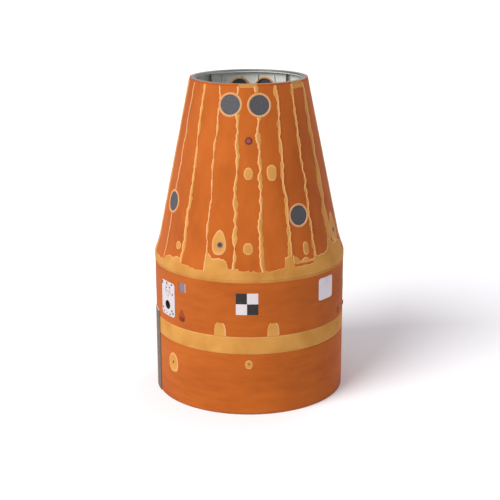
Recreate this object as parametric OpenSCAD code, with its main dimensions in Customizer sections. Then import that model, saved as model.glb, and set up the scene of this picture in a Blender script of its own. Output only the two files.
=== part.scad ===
// Forward end of a foam-covered heavy-lift launch vehicle core stage: the top of the
// propellant tank, the forward skirt and the conical stage adapter. Z is up, the base
// of the tank section lies on Z = 0, and the front faces -Y.

/* [Overall] */
// Outer diameter of the metal tank wall
tank_d = 8400; // [8300:10:8500]
// Outer diameter of the metal cone at its forward end
forward_d = 5038; // [4900:10:5100]
// Height of the tank section, up to its joint with the skirt
tank_h = 3180; // [3150:10:3200]
// Height of the forward skirt
skirt_h = 2770; // [2760:10:2800]
// Height of the stage adapter
adapter_h = 8120; // [8000:10:8300]

/* [Walls] */
// Thickness of the sprayed foam
foam_t = 50; // [45:1:55]
// Bond line under the foam
bond_gap = 1; // [0.5:0.5:2]
// Thickness of the tank wall
tank_wall = 20; // [12:1:24]
// Thickness of the skirt and adapter skins
skin_t = 10; // [8:1:14]
// How far the joint closeout stands proud of the foam
closeout_proud = 16; // [8:1:20]
// How far the cable tray stands proud of the foam
tray_proud = 40; // [30:5:40]

/* [Adapter] */
// Number of foam seams round the cone
seam_count = 20; // [18:1:20]
// Width of one seam ridge
seam_w = 90; // [60:10:120]
// Diameter of one vent cover
vent_d = 830; // [800:10:850]
// Width of the foam rim round a vent
vent_rim_w = 85; // [60:5:95]
// Number of internal stringers on the cone
adapter_stringer_count = 20; // [16:4:24]

/* [Separation joint] */
// Number of bolts on the forward bolt circle
forward_bolt_count = 40; // [24:4:48]
// Diameter of the forward bolt circle
forward_pcd = 4900; // [4860:10:4940]
// Radius of a forward bolt hole
forward_hole_r = 9; // [6:0.5:12]
// Number of pneumatic pushers
pusher_count = 4; // [4:1:6]

/* [Skirt] */
// Width and height of the access hatch
hatch_w = 1000; // [900:10:1040]
// Width of the umbilical plate
plate_w = 1100; // [1050:10:1150]
// Height of the umbilical plate
plate_h = 1560; // [1500:10:1600]
// Bore radius of the purge port
port_r = 180; // [160:5:185]
// Side of one square of a tracking target
target_square = 475; // [400:5:500]
// Number of stringers inside the skirt
skirt_stringer_count = 24; // [16:4:32]

/* [Hidden] */
$fn = 96;
round_fn = 720;

// Stations up the stage
skirt_z = tank_h;
adapter_z = tank_h + skirt_h;
top_z = adapter_z + adapter_h;
band_z0 = tank_h - 414;
band_z1 = tank_h + 409;
joint_band_z1 = adapter_z + 530;
swell_z1 = adapter_z + 950;
mid_z = adapter_z + 4000;
ring_h = 110;
joint_gap = 2;
separation_z = top_z - 70;

// Radii
tank_r = tank_d / 2;
foam_r = tank_r + foam_t;
tray_r = foam_r + tray_proud;
joint_face_r = foam_r + closeout_proud;
forward_foam_r = forward_d / 2 + foam_t + bond_gap;
flange_in_r = tank_r - 210;
flange_bolt_r = tank_r - 110;
cone_slope = (foam_r - forward_foam_r) / adapter_h;
cone_tilt = atan(cone_slope);
function cone_r(z) = foam_r - cone_slope * (z - adapter_z);
function skin_r(z) = cone_r(z) - foam_t - bond_gap;

// Vents: azimuth from the front, and height; the set repeats on the far side
front_vents = [[-16.4, 13235], [9.3, 13220], [-64.2, 8890], [34.7, 8600]];
vent_places = [for (turn = [0, 180], p = front_vents) [p[0] + turn, p[1]]];
front_seams = [-62.5, -44.5, -27, -9.3, 7.8, 25.3, 43.5, 60];
rear_seam_step = (360 + front_seams[0] - front_seams[7]) / (seam_count - 7);
seam_places = [for (i = [0:seam_count - 1])
    i < 8 ? front_seams[i] : front_seams[7] + (i - 7) * rear_seam_step];
// Foam plugs on the cone: azimuth, height, width, height of the plug
cone_plugs = [[-0.4, 10450, 410, 510], [16.6, 10460, 420, 670], [-18.7, 7620, 650, 1060],
    [-48.8, 7180, 320, 360], [-0.7, 7380, 440, 510], [37.1, 7200, 310, 570], [70, 7650, 1100, 1000],
    [-0.2, 11780, 320, 320], [121, 7400, 420, 560], [160, 10450, 420, 600], [186, 7500, 640, 900],
    [212, 10300, 400, 520], [243, 7300, 380, 520]];
tank_plugs = [[-52.3, 1800, 730, 880], [-0.4, 2320, 320, 400], [118, 1900, 600, 760], [196, 2250, 340, 420]];
tab_places = [-17.2, 13.85, 96, 152, 208, 264];
hatch_az = 51.4;
hatch_z = 5260;
plate_az = -57.1;
plate_z = 4685;
// Connectors on the umbilical plate: turn from its middle, height, width, tall
connector_places = [[-6.1, 5345, 56, 150], [-0.5, 5395, 56, 96], [2.8, 5235, 44, 56], [4.7, 5385, 70, 80],
    [5.5, 4955, 50, 84], [4.6, 4180, 56, 84], [5.7, 4075, 60, 90], [2.6, 4000, 76, 46], [-1.2, 4010, 66, 34],
    [-4.3, 4035, 60, 50], [-5.7, 4190, 44, 84]];
port_z = 4400;
antenna_az = -43.1;
antenna_z = 5430;
target_places = [-1.4, 87, 179, 269];
target_z = 5040;
tray_az = -76;
tray_top_z = 3870;
tray_w = 860;
tray_h = tray_r - foam_r - 2;
frame_z = 4650;
shelf_places = [20, 110, 200, 290];
pusher_r = 2430;
dome_apex_z = tank_h + 2690;
dome_r = 4400;
manhole_r = 420;
flapper_pin_z = port_z + port_r + 34;
port_back_y = -tank_r + 92;

// Relief valve spring: turns, steps in a turn, sides of the wire, its length between end centres
spring_turns = 5;
spring_steps = 14;
spring_sides = 6;
spring_h = 138;
function spring_point(i, k) = let (a = 360 * i / spring_steps, b = 360 * k / spring_sides,
    r = 34 + 5 * cos(b)) [r * cos(a), r * sin(a), spring_h * i / (spring_turns * spring_steps) + 5 * sin(b)];

// Turns its children from the front of the stage to an azimuth
module at(az) rotate([0, 0, az]) children();

// Stands its children on the cone, with their -Y along the outward normal
module on_cone(az, z) at(az) translate([0, -cone_r(z), z]) rotate([-cone_tilt, 0, 0]) children();

// A plain ring between two radii and two heights
module ring(r0, r1, z0, z1) rotate_extrude($fn = round_fn) translate([r0, z0]) square([r1 - r0, z1 - z0]);

// A ring between two lines parallel to the cone's skin, each given by its depth below it
module cone_ring(in_depth, out_depth, z0, z1) rotate_extrude($fn = round_fn)
    polygon([[skin_r(z0) - in_depth, z0], [skin_r(z0) - out_depth, z0],
        [skin_r(z1) - out_depth, z1], [skin_r(z1) - in_depth, z1]]);

// A rectangle with round corners, about its centre
module rounded(w, h, r) {
    square([w - 2 * r, h], center = true);
    square([w, h - 2 * r], center = true);
    for (sx = [-1, 1], sy = [-1, 1]) translate([sx * (w / 2 - r), sy * (h / 2 - r)]) circle(r);
}

// A straight prism that runs out through the wall at an azimuth and height
module wall_prism(az, z, w, h, r) at(az) translate([0, -tank_r + 300, z])
    rotate([90, 0, 0]) linear_extrude(600) rounded(w, h, r);

// The same through the wall of the cone
module cone_prism(az, z, w, h, r) on_cone(az, z) translate([0, 150, 0])
    rotate([90, 0, 0]) linear_extrude(300) rounded(w, h, r);

// Bores through every vent
module vent_bores(r) for (v = vent_places) on_cone(v[0], v[1]) translate([0, 200, 0])
    rotate([90, 0, 0]) cylinder(r = r, h = 400);

module port_bore(r) at(plate_az) translate([0, -tank_r + 500, port_z])
    rotate([90, 0, 0]) cylinder(r = r, h = 700);

module tank_base_ring() color("silver") ring(tank_r - 120, foam_r - 2, 0, 20);

module tank_barrel() color("silver") ring(tank_r - tank_wall, tank_r, 20, tank_h - 90);

module tank_ring_frames() color("silver")
    for (z = [700, 1500, 2300]) ring(tank_r - tank_wall - 110, tank_r - tank_wall - 1, z, z + 40);

module tank_y_ring() color("silver") rotate_extrude($fn = round_fn)
    polygon([[tank_r - 95, tank_h - 90], [tank_r, tank_h - 90], [tank_r, tank_h],
        [tank_r - 120, tank_h], [tank_r - 120, tank_h - 30], [tank_r - 95, tank_h - 50]]);

module tank_dome() color("silver") rotate_extrude($fn = round_fn) difference() {
    intersection() {
        translate([0, dome_apex_z - dome_r]) circle(r = dome_r, $fn = round_fn);
        translate([0, tank_h - 30]) square([tank_r - 121, dome_r]);
    }
    translate([0, dome_apex_z - dome_r]) circle(r = dome_r - 14, $fn = round_fn);
    square([manhole_r, 2 * dome_apex_z]);
}

module manhole_flange() color("silver") difference() {
    ring(manhole_r - 80, manhole_r - 1, dome_apex_z - 60, dome_apex_z + 20);
    for (a = [0:15:345]) at(a) translate([manhole_r - 40, 0, dome_apex_z - 30]) cylinder(r = 9, h = 60);
}

module manhole_cover() color("silver") difference() {
    ring(100, manhole_r - 1, dome_apex_z + 20, dome_apex_z + 45);
    for (a = [0:15:345]) at(a) translate([manhole_r - 40, 0, dome_apex_z]) cylinder(r = 9, h = 60);
}

module manhole_bolts() color("dimgray") for (a = [0:15:345]) at(a)
    translate([manhole_r - 40, 0, dome_apex_z - 28]) {
        cylinder(r = 8, h = 75);
        translate([0, 0, 73]) cylinder(r = 14, h = 12, $fn = 6);
    }

// A cup with a seat at its foot, two vent windows and a guide for the poppet's stem
module relief_valve_body() color("silver") difference() {
    union() {
        translate([0, 0, dome_apex_z - 20]) cylinder(r = 98, h = 300);
        translate([0, 0, dome_apex_z + 45]) cylinder(r = 150, h = 14);
    }
    translate([0, 0, dome_apex_z - 21]) cylinder(r = 50, h = 120);
    translate([0, 0, dome_apex_z + 80]) cylinder(r = 80, h = 170);
    translate([0, 0, dome_apex_z]) cylinder(r = 14.05, h = 400);
    translate([-150, -45, dome_apex_z + 120]) cube([300, 90, 110]);
}

module relief_poppet() color("dimgray") translate([0, 0, dome_apex_z + 80.4]) {
    cylinder(r = 70, h = 20);
    cylinder(r = 14, h = 240);
}

// Coil spring between the poppet and the roof of its chamber
module relief_spring() color("silver") translate([0, 0, dome_apex_z + 106])
    let (n = spring_turns * spring_steps, m = spring_sides) polyhedron(
        points = [for (i = [0:n], k = [0:m - 1]) spring_point(i, k)],
        faces = concat([[for (k = [0:m - 1]) k]], [[for (k = [m - 1:-1:0]) n * m + k]],
            [for (i = [0:n - 1], k = [0:m - 1]) let (j = (k + 1) % m)
                [i * m + k, (i + 1) * m + k, (i + 1) * m + j, i * m + j]]));

module tank_foam() color("chocolate") ring(tank_r + bond_gap, foam_r, 21, band_z0);

// The yellow band over the tank and skirt joint, with round-topped tabs on its upper edge
module lower_closeout() color("goldenrod") {
    ring(tank_r + bond_gap, foam_r + 4, band_z0 + 1, band_z1 - 1);
    intersection() {
        ring(foam_r + 1, foam_r + 12, band_z1, band_z1 + 700);
        union() for (a = tab_places) wall_prism(a, band_z1 + 150, 540, 820, 170);
    }
}

module tank_foam_plugs() color("goldenrod") intersection() {
    ring(foam_r + 1, foam_r + 12, 0, band_z0);
    union() for (p = tank_plugs) wall_prism(p[0], p[1], p[2], p[3], 0.46 * p[2]);
}

// An open channel that covers the cables down the side
module cable_tray_cover() color("rosybrown") difference() {
    tray_block(6, tray_h, tray_w, 21, tray_top_z - 60);
    tray_block(0, tray_h - 6, tray_w - 16, 0, tray_top_z - 72);
}

// Part of the tray between two heights over the foam, at a width about its own azimuth
module tray_block(h0, h1, w, z0, z1) intersection() {
    ring(foam_r + h0, foam_r + h1, z0, z1);
    at(tray_az) translate([-w / 2, -foam_r - 200, z0]) cube([w, 500, z1 - z0]);
}

module cable_tray_brackets() color("silver") intersection() {
    ring(foam_r + 5, foam_r + tray_h - 7, 30, tray_top_z - 90);
    at(tray_az) for (z = [300:700:3100], sx = [-1, 1])
        translate([sx * (tray_w / 2 - 60) - 30, -foam_r - 200, z]) cube([60, 400, 50]);
}

module tray_cables() color("dimgray") at(tray_az) for (x = [-240, -120, 0, 120, 240])
    translate([x, -sqrt(pow(foam_r + 18, 2) - x * x), 25]) cylinder(r = 10, h = tray_top_z - 115);

module tray_end_fitting() color("gainsboro")
    tray_block(2, tray_h, tray_w - 60, tray_top_z - 58, tray_top_z);

module skirt_aft_ring() color("silver") rotate_extrude($fn = round_fn)
    polygon([[tank_r - 120, skirt_z + 1], [tank_r, skirt_z + 1], [tank_r, skirt_z + ring_h],
        [tank_r - skin_t, skirt_z + ring_h], [tank_r - skin_t, skirt_z + 30],
        [tank_r - 120, skirt_z + 30]]);

module skirt_shell() color("silver") difference() {
    ring(tank_r - skin_t, tank_r, skirt_z + ring_h + 1, adapter_z - ring_h - 1);
    wall_prism(hatch_az, hatch_z, hatch_w - 120, hatch_w - 120, 90);
    port_bore(port_r + 24);
}

module skirt_stringers() color("silver") difference() {
    for (i = [0:skirt_stringer_count - 1]) at((i + 0.5) * 360 / skirt_stringer_count)
        translate([-20, -tank_r + skin_t + 2, skirt_z + ring_h + 1])
            cube([40, 48, skirt_h - 2 * ring_h - 2]);
    wall_prism(hatch_az, hatch_z, hatch_w - 60, hatch_w - 60, 90);
    port_bore(port_r + 60);
}

module skirt_ring_frames() color("silver") for (z = [skirt_z + 480, frame_z])
    ring(tank_r - skin_t - 130, tank_r - skin_t - 52, z, z + 50);

// Flange ring that the adapter bolts to
module skirt_forward_ring() color("silver") difference() {
    rotate_extrude($fn = round_fn) polygon([[tank_r - skin_t, adapter_z - ring_h], [tank_r, adapter_z - ring_h],
        [tank_r, adapter_z - 1], [flange_in_r, adapter_z - 1], [flange_in_r, adapter_z - 41],
        [tank_r - skin_t, adapter_z - 41]]);
    flange_holes();
}

module flange_holes() for (a = [4.5:9:355.5]) at(a)
    translate([0, -flange_bolt_r, adapter_z - 100]) cylinder(r = 12, h = 200);

module flange_bolts() color("dimgray") for (a = [4.5:9:355.5]) at(a)
    translate([0, -flange_bolt_r, adapter_z - 55]) {
        cylinder(r = 11, h = 120);
        translate([0, 0, -10]) cylinder(r = 20, h = 24 - joint_gap, $fn = 6);
        translate([0, 0, 97]) cylinder(r = 20, h = 16, $fn = 6);
    }

module skirt_foam() color("chocolate") difference() {
    ring(tank_r + bond_gap, foam_r, band_z1, adapter_z - 1);
    wall_prism(hatch_az, hatch_z, hatch_w + 12, hatch_w + 12, 126);
    wall_prism(antenna_az, antenna_z, 424, 464, 20);
    port_bore(port_r + 24);
}

// Curved white plate that the ground umbilical mates to
module umbilical_plate() color("whitesmoke") difference() {
    intersection() {
        ring(foam_r + 1, foam_r + 18, plate_z - plate_h, adapter_z - 1);
        wall_prism(plate_az, plate_z, plate_w, plate_h, 150);
    }
    port_bore(port_r + 24);
    coupling_places() cylinder(r = 61, h = 400, center = true);
}

module coupling_places() for (x = [-170, 0, 170]) at(plate_az)
    translate([x, -foam_r, plate_z + 350]) rotate([90, 0, 0]) children();

// Tube through the wall, with a flange outside and hinge lugs at its inner end
module umbilical_port() color("dimgray") at(plate_az) translate([0, port_back_y, port_z]) {
    difference() {
        union() {
            rotate([90, 0, 0]) cylinder(r = port_r + 22, h = foam_r - tank_r + 92 + 20);
            for (sx = [-1, 1]) translate([sx * 40 - 8, -12, port_r + 13]) cube([16, 62, 42]);
        }
        translate([0, 60, 0]) rotate([90, 0, 0]) cylinder(r = port_r, h = 400);
        translate([-100, 30, flapper_pin_z - port_z]) rotate([0, 90, 0]) cylinder(r = 8, h = 200);
    }
}

// Swing check plate that closes the inner end of the port
module port_flapper() color("gray") at(plate_az) translate([0, port_back_y, port_z]) difference() {
    union() {
        translate([0, 14, 0]) rotate([90, 0, 0]) cylinder(r = port_r + 8, h = 12);
        translate([-28, 2, port_r - 30]) cube([56, 36, 64]);
        translate([-28, 30, flapper_pin_z - port_z]) rotate([0, 90, 0]) cylinder(r = 16, h = 56);
    }
    translate([-100, 30, flapper_pin_z - port_z]) rotate([0, 90, 0]) cylinder(r = 8.05, h = 200);
}

module flapper_pin() color("silver") at(plate_az)
    translate([-56, port_back_y + 30, flapper_pin_z]) rotate([0, 90, 0]) cylinder(r = 8, h = 112);

module fluid_couplings() color("gray") coupling_places() difference() {
    cylinder(r = 60, h = 34);
    translate([0, 0, 10]) cylinder(r = 42, h = 40);
}

module electrical_connectors() color("dimgray") intersection() {
    ring(foam_r + 19, foam_r + 36, 0, adapter_z);
    for (p = connector_places) wall_prism(plate_az + p[0], p[1], p[2], p[3], 12);
}

module access_hatch() color("whitesmoke") difference() {
    intersection() {
        ring(tank_r + 6, foam_r + 2, skirt_z, adapter_z - 1);
        wall_prism(hatch_az, hatch_z, hatch_w, hatch_w, 120);
    }
    hatch_bolt_places() cylinder(r = 9, h = 400, center = true);
}

// Radial screw places along the four edges of the hatch
module hatch_bolt_places() for (side = [-1, 1], t = [-330:165:330], across = [false, true])
    let (e = side * (hatch_w / 2 - 34), u = across ? t : e, v = across ? e : t)
        at(hatch_az + asin(u / foam_r)) translate([0, -tank_r, hatch_z + v]) rotate([90, 0, 0]) children();

module hatch_gasket() color("dimgray") difference() {
    intersection() {
        ring(tank_r + 1, tank_r + 5, skirt_z, adapter_z - 1);
        wall_prism(hatch_az, hatch_z, hatch_w, hatch_w, 120);
    }
    wall_prism(hatch_az, hatch_z, hatch_w - 120, hatch_w - 120, 90);
}

module hatch_fasteners() color("gray") hatch_bolt_places()
    translate([0, 0, 8]) cylinder(r = 8, h = foam_t - 4);

module antenna_pocket() color("whitesmoke") difference() {
    intersection() {
        ring(tank_r + 1, foam_r + 1, skirt_z, adapter_z - 1);
        wall_prism(antenna_az, antenna_z, 420, 460, 20);
    }
    wall_prism(antenna_az, antenna_z, 396, 436, 14);
}

module antenna_panel() color("lightslategray") intersection() {
    ring(tank_r + 1, foam_r - 18, skirt_z, adapter_z - 1);
    wall_prism(antenna_az, antenna_z, 394, 434, 12);
}

// Half of the four squares of every tracking target; side = 1 or -1 picks which diagonal
module target_squares(side) intersection() {
    ring(foam_r + 0.5, foam_r + 4, skirt_z, adapter_z);
    for (i = [0:3], s = [-1, 1])
        at(target_places[i]) translate([s * target_square / 2, -foam_r, target_z
            + (i == 1 ? -1 : 1) * side * s * target_square / 2])
            cube([target_square - 0.4, 200, target_square - 0.4], center = true);
}

module target_white_squares() color("whitesmoke") target_squares(1);

module target_black_squares() color("black") target_squares(-1);

// Small foam-capped fittings on the skirt
module skirt_fairings() color("peru") intersection() {
    ring(foam_r + 1, tray_r - 2, skirt_z, adapter_z);
    union() {
        wall_prism(-43.5, 4170, 300, 300, 120);
        wall_prism(68, 3990, 150, 170, 30);
        wall_prism(82, 3900, 420, 110, 40);
        wall_prism(128, 4300, 160, 160, 60);
    }
}

module avionics_shelves() color("silver") for (a = shelf_places) at(a)
    translate([-520, -tank_r + skin_t + 60, frame_z + 50]) {
        cube([1040, 480, 16]);
        for (x = [60, 960]) translate([x, 60, 16]) cube([12, 420, 60]);
    }

module avionics_boxes() color("dimgray") for (a = shelf_places, x = [-430, 20]) at(a)
    translate([x, -tank_r + skin_t + 130, frame_z + 66]) {
        cube([400, 340, 300]);
        for (i = [0:3]) translate([60 + i * 90, 170, 299]) cylinder(r = 26, h = 36);
    }

module harness_ring() color("dimgray")
    rotate_extrude() translate([flange_in_r + 40, adapter_z - 160]) circle(r = 28);

module harness_clips() color("silver") for (a = [11.25:22.5:348.75]) at(a)
    translate([-15, -flange_in_r - 70, adapter_z - 131]) cube([30, 60, 89]);

module adapter_aft_ring() color("silver") difference() {
    rotate_extrude($fn = round_fn) polygon([[flange_in_r, adapter_z], [skin_r(adapter_z), adapter_z],
        [skin_r(adapter_z + ring_h), adapter_z + ring_h],
        [skin_r(adapter_z + ring_h) - skin_t, adapter_z + ring_h],
        [skin_r(adapter_z + 40) - skin_t, adapter_z + 40], [flange_in_r, adapter_z + 40]]);
    flange_holes();
}

module aft_cone() color("silver") difference() {
    cone_ring(skin_t, 0, adapter_z + ring_h + 1, mid_z - 61);
    vent_bores(vent_d / 2 + 26);
}

// Ring that splices the two cones
module mid_ring() color("silver") {
    cone_ring(skin_t, 0, mid_z - 60, mid_z + 60);
    cone_ring(150, skin_t, mid_z - 15, mid_z + 15);
}

module forward_cone() color("silver") difference() {
    cone_ring(skin_t, 0, mid_z + 61, separation_z - ring_h - 1);
    vent_bores(vent_d / 2 + 26);
}

// Lower half of the separation joint, with the flange that the pushers work through
module forward_ring() color("silver") difference() {
    rotate_extrude($fn = round_fn) polygon([
        [skin_r(separation_z - ring_h) - skin_t, separation_z - ring_h],
        [skin_r(separation_z - ring_h), separation_z - ring_h], [skin_r(separation_z - 2), separation_z - 2],
        [pusher_r - 70, separation_z - 2], [pusher_r - 70, separation_z - 32],
        [skin_r(separation_z - 32) - skin_t, separation_z - 32]]);
    pusher_places() cylinder(r = 31, h = 400, center = true);
}

module pusher_places() for (i = [0:pusher_count - 1]) at(45 + i * 360 / pusher_count)
    translate([0, -pusher_r, separation_z]) children();

module adapter_stringers() color("silver") difference() {
    for (i = [0:adapter_stringer_count - 1], span = [[adapter_z + ring_h + 4, mid_z - 64],
        [mid_z + 64, separation_z - ring_h - 6]])
        at((i + 0.5) * 360 / adapter_stringer_count)
            translate([0, -skin_r(span[0]) + skin_t + 4, span[0]]) rotate([-cone_tilt, 0, 0])
                translate([-20, 0, 0]) cube([40, 56, (span[1] - span[0]) / cos(cone_tilt) - 14]);
    vent_bores(vent_d / 2 + 40);
}

module adapter_ring_frames() color("silver") for (z = [7350, 9520, 11300, 12480])
    cone_ring(skin_t + 170, skin_t + 66, z, z + 45);

// A tube in each vent bore, with a step that carries the cover and a foam rim round it
module vent_frames() color("goldenrod") for (v = vent_places) on_cone(v[0], v[1])
    rotate([90, 0, 0]) rotate_extrude() polygon([[vent_d / 2 - 25, -95], [vent_d / 2 + 24, -95],
        [vent_d / 2 + 24, -40], [vent_d / 2 + vent_rim_w - 2, -40], [vent_d / 2 + vent_rim_w - 2, 8],
        [vent_d / 2 + 12, 8], [vent_d / 2 + 4, 0], [vent_d / 2 + 4, -42], [vent_d / 2 - 25, -42]]);

module vent_covers() color("dimgray") for (v = vent_places) on_cone(v[0], v[1])
    translate([0, 41, 0]) rotate([90, 0, 0]) cylinder(r = vent_d / 2, h = 14);

// Foam on the cone, swollen at its foot where it runs up to the joint closeout
module adapter_foam() color("chocolate") difference() {
    rotate_extrude($fn = round_fn)
        polygon([[skin_r(joint_band_z1) + bond_gap, joint_band_z1 + 1],
            [cone_r(joint_band_z1) + 50, joint_band_z1 + 1], [cone_r(swell_z1 - 150) + 28, swell_z1 - 150],
            [cone_r(swell_z1), swell_z1], [cone_r(separation_z - 2), separation_z - 2],
            [skin_r(separation_z - 2) + bond_gap, separation_z - 2]]);
    vent_bores(vent_d / 2 + vent_rim_w);
}

// Raised ridges along the seams between foam panels
module seam_ridges() color("sandybrown") difference() {
    for (a = seam_places) on_cone(a, swell_z1 + 8)
        translate([-seam_w / 2, -13, 0])
            cube([seam_w, 12, (separation_z - swell_z1) / cos(cone_tilt) - 18]);
    vent_bores(vent_d / 2 + vent_rim_w + 2);
}

// The wide band over the joint of the skirt and the adapter
module joint_closeout() color("goldenrod") rotate_extrude($fn = round_fn)
    polygon([[tank_r + bond_gap, adapter_z], [foam_r - 4, adapter_z], [joint_face_r - 10, adapter_z + 8],
        [joint_face_r, adapter_z + 40], [joint_face_r, adapter_z + 380],
        [cone_r(joint_band_z1) + 50, joint_band_z1], [skin_r(joint_band_z1) + bond_gap, joint_band_z1],
        [skin_r(adapter_z + 30) + bond_gap, adapter_z + 30]]);

module adapter_foam_plugs() color("goldenrod") difference() {
    intersection() {
        cone_ring(-foam_t - bond_gap - 1, -foam_t - bond_gap - 12, swell_z1 + 10, separation_z - 200);
        union() for (p = cone_plugs) cone_prism(p[0], p[1], p[2], p[3], 0.46 * min(p[2], p[3]));
    }
    for (a = seam_places) on_cone(a, joint_band_z1)
        translate([-seam_w / 2 - 2, -40, -50]) cube([seam_w + 4, 80, adapter_h]);
}

module pusher_cylinders() color("gray") pusher_places() difference() {
    union() {
        translate([0, 0, -760.3]) cylinder(r = 48, h = 728);
        translate([0, 0, -56.3]) cylinder(r = 68, h = 24);
    }
    translate([0, 0, -740]) cylinder(r = 30.1, h = 800);
}

module pusher_rods() color("gainsboro") pusher_places()
    translate([0, 0, -735]) cylinder(r = 30, h = 734);

// Upper half of the separation joint, which leaves with the upper stage
module separation_upper_ring() color("silver") difference() {
    ring(pusher_r - 70, forward_d / 2, separation_z, top_z);
    for (i = [0:forward_bolt_count - 1]) at((i + 0.5) * 360 / forward_bolt_count)
        translate([0, -forward_pcd / 2, separation_z - 1]) cylinder(r = forward_hole_r, h = 100);
}

module upper_closeout() color("goldenrod")
    ring(forward_d / 2 + bond_gap, forward_foam_r, separation_z, top_z);

tank_base_ring();
tank_barrel();
tank_ring_frames();
tank_y_ring();
tank_dome();
manhole_flange();
manhole_cover();
manhole_bolts();
relief_valve_body();
relief_poppet();
relief_spring();
tank_foam();
lower_closeout();
tank_foam_plugs();
cable_tray_cover();
cable_tray_brackets();
tray_cables();
tray_end_fitting();
skirt_aft_ring();
skirt_shell();
skirt_stringers();
skirt_ring_frames();
skirt_forward_ring();
flange_bolts();
skirt_foam();
umbilical_plate();
umbilical_port();
port_flapper();
flapper_pin();
fluid_couplings();
electrical_connectors();
access_hatch();
hatch_gasket();
hatch_fasteners();
antenna_pocket();
antenna_panel();
target_white_squares();
target_black_squares();
skirt_fairings();
avionics_shelves();
avionics_boxes();
harness_ring();
harness_clips();
adapter_aft_ring();
aft_cone();
mid_ring();
forward_cone();
forward_ring();
adapter_stringers();
adapter_ring_frames();
vent_frames();
vent_covers();
adapter_foam();
seam_ridges();
joint_closeout();
adapter_foam_plugs();
pusher_cylinders();
pusher_rods();
separation_upper_ring();
upper_closeout();
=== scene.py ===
import math

import bmesh
import bpy
from mathutils import Matrix, Vector, noise


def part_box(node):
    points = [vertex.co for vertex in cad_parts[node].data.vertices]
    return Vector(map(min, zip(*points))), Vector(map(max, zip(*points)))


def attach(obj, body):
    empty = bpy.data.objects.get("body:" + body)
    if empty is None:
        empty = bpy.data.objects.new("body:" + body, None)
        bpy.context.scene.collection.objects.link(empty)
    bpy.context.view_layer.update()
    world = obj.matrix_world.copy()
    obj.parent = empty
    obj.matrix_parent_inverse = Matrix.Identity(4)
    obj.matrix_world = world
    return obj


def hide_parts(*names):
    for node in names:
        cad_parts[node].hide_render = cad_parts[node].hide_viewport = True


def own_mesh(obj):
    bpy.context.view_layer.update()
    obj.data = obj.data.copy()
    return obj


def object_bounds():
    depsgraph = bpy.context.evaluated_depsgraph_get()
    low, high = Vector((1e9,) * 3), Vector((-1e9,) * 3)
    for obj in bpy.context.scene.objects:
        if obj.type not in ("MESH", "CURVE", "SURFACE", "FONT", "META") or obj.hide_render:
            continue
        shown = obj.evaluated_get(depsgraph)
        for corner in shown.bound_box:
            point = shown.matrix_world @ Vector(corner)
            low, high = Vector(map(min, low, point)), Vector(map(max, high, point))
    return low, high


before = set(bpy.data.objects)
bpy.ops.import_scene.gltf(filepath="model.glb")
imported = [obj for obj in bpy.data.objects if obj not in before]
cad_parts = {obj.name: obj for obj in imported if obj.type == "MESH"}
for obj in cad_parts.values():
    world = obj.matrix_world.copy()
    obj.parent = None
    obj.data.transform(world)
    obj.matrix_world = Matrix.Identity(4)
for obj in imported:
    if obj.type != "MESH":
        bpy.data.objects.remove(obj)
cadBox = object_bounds()
print("frame loaded:", len(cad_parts), "nodes")

# radii and heights that the looks hang on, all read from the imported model
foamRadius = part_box("tank_foam")[1].x
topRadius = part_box("upper_closeout")[1].x
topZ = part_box("upper_closeout")[1].z
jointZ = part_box("joint_closeout")[0].z
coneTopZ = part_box("adapter_foam")[1].z
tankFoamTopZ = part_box("tank_foam")[1].z
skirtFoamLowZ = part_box("skirt_foam")[0].z
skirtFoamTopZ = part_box("skirt_foam")[1].z
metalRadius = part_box("tank_barrel")[1].x
coneSlope = (foamRadius - topRadius) / (topZ - jointZ)
coneTilt = math.atan(coneSlope)

# how far the foam at the foot of the cone swells past the straight cone, by height over the joint
footSwell = [(0.0, 0.0), (0.30, 0.070), (0.42, 0.080), (0.55, 0.066), (0.70, 0.046), (0.90, 0.026),
             (1.15, 0.0)]


def curveValue(points, x):
    # smooth steps between neighbouring points
    if x <= points[0][0]:
        return points[0][1]
    for (x0, y0), (x1, y1) in zip(points, points[1:]):
        if x <= x1:
            t = (x - x0) / (x1 - x0)
            return y0 + (y1 - y0) * t * t * (3 - 2 * t)
    return points[-1][1]


def foamSurface(z):
    # radius of the finished foam at a height
    if z <= jointZ:
        return foamRadius
    return foamRadius - coneSlope * (z - jointZ) + curveValue(footSwell, z - jointZ)


def onFoam(azimuth, z, across=0.0, lift=0.0):
    # a point on the foam, azimuth in degrees from the front, moved across it and lifted off it
    radius = foamSurface(z)
    angle = math.radians(azimuth) + across / radius
    tilt = coneTilt if z > jointZ else 0.0
    r = radius + lift * math.cos(tilt)
    return Vector((r * math.sin(angle), -r * math.cos(angle), z + lift * math.sin(tilt)))


def wander(x, seed, size=1.0):
    # a smooth wobble between about -1 and 1
    return noise.noise(Vector((x / size, seed * 7.31, seed * 1.7)))


cameraLook = dict(place=(0.03, -50.0, 20.49), pitchDown=15.94, roll=0.20, lens=82.50, sensor=36.0)


def makeCamera(look):
    data = bpy.data.cameras.new("camera")
    data.lens = look["lens"]
    data.sensor_width = look["sensor"]
    data.clip_end = 2000
    camera = bpy.data.objects.new("camera", data)
    turn = Matrix.Rotation(math.radians(90 - look["pitchDown"]), 4, "X")
    roll = Matrix.Rotation(math.radians(-look["roll"]), 4, "Z")
    camera.matrix_world = Matrix.Translation(look["place"]) @ turn @ roll
    bpy.context.scene.collection.objects.link(camera)
    bpy.context.scene.camera = camera


makeCamera(cameraLook)
bpy.context.scene.view_settings.view_transform = "Standard"

studio = dict(worldColour="F6F7FF", worldStrength=0.54, floorSize=1200.0, floorColour="FAFAFA",
              # lamps: name, strength, degrees across, azimuth, height over the horizon, colour
              lamps=[("key", 3.3, 38.0, -48.0, 36.0, "FFFFFF"), ("rim", 0.8, 25.0, 146.0, 16.0, "FFE3E0")])


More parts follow.
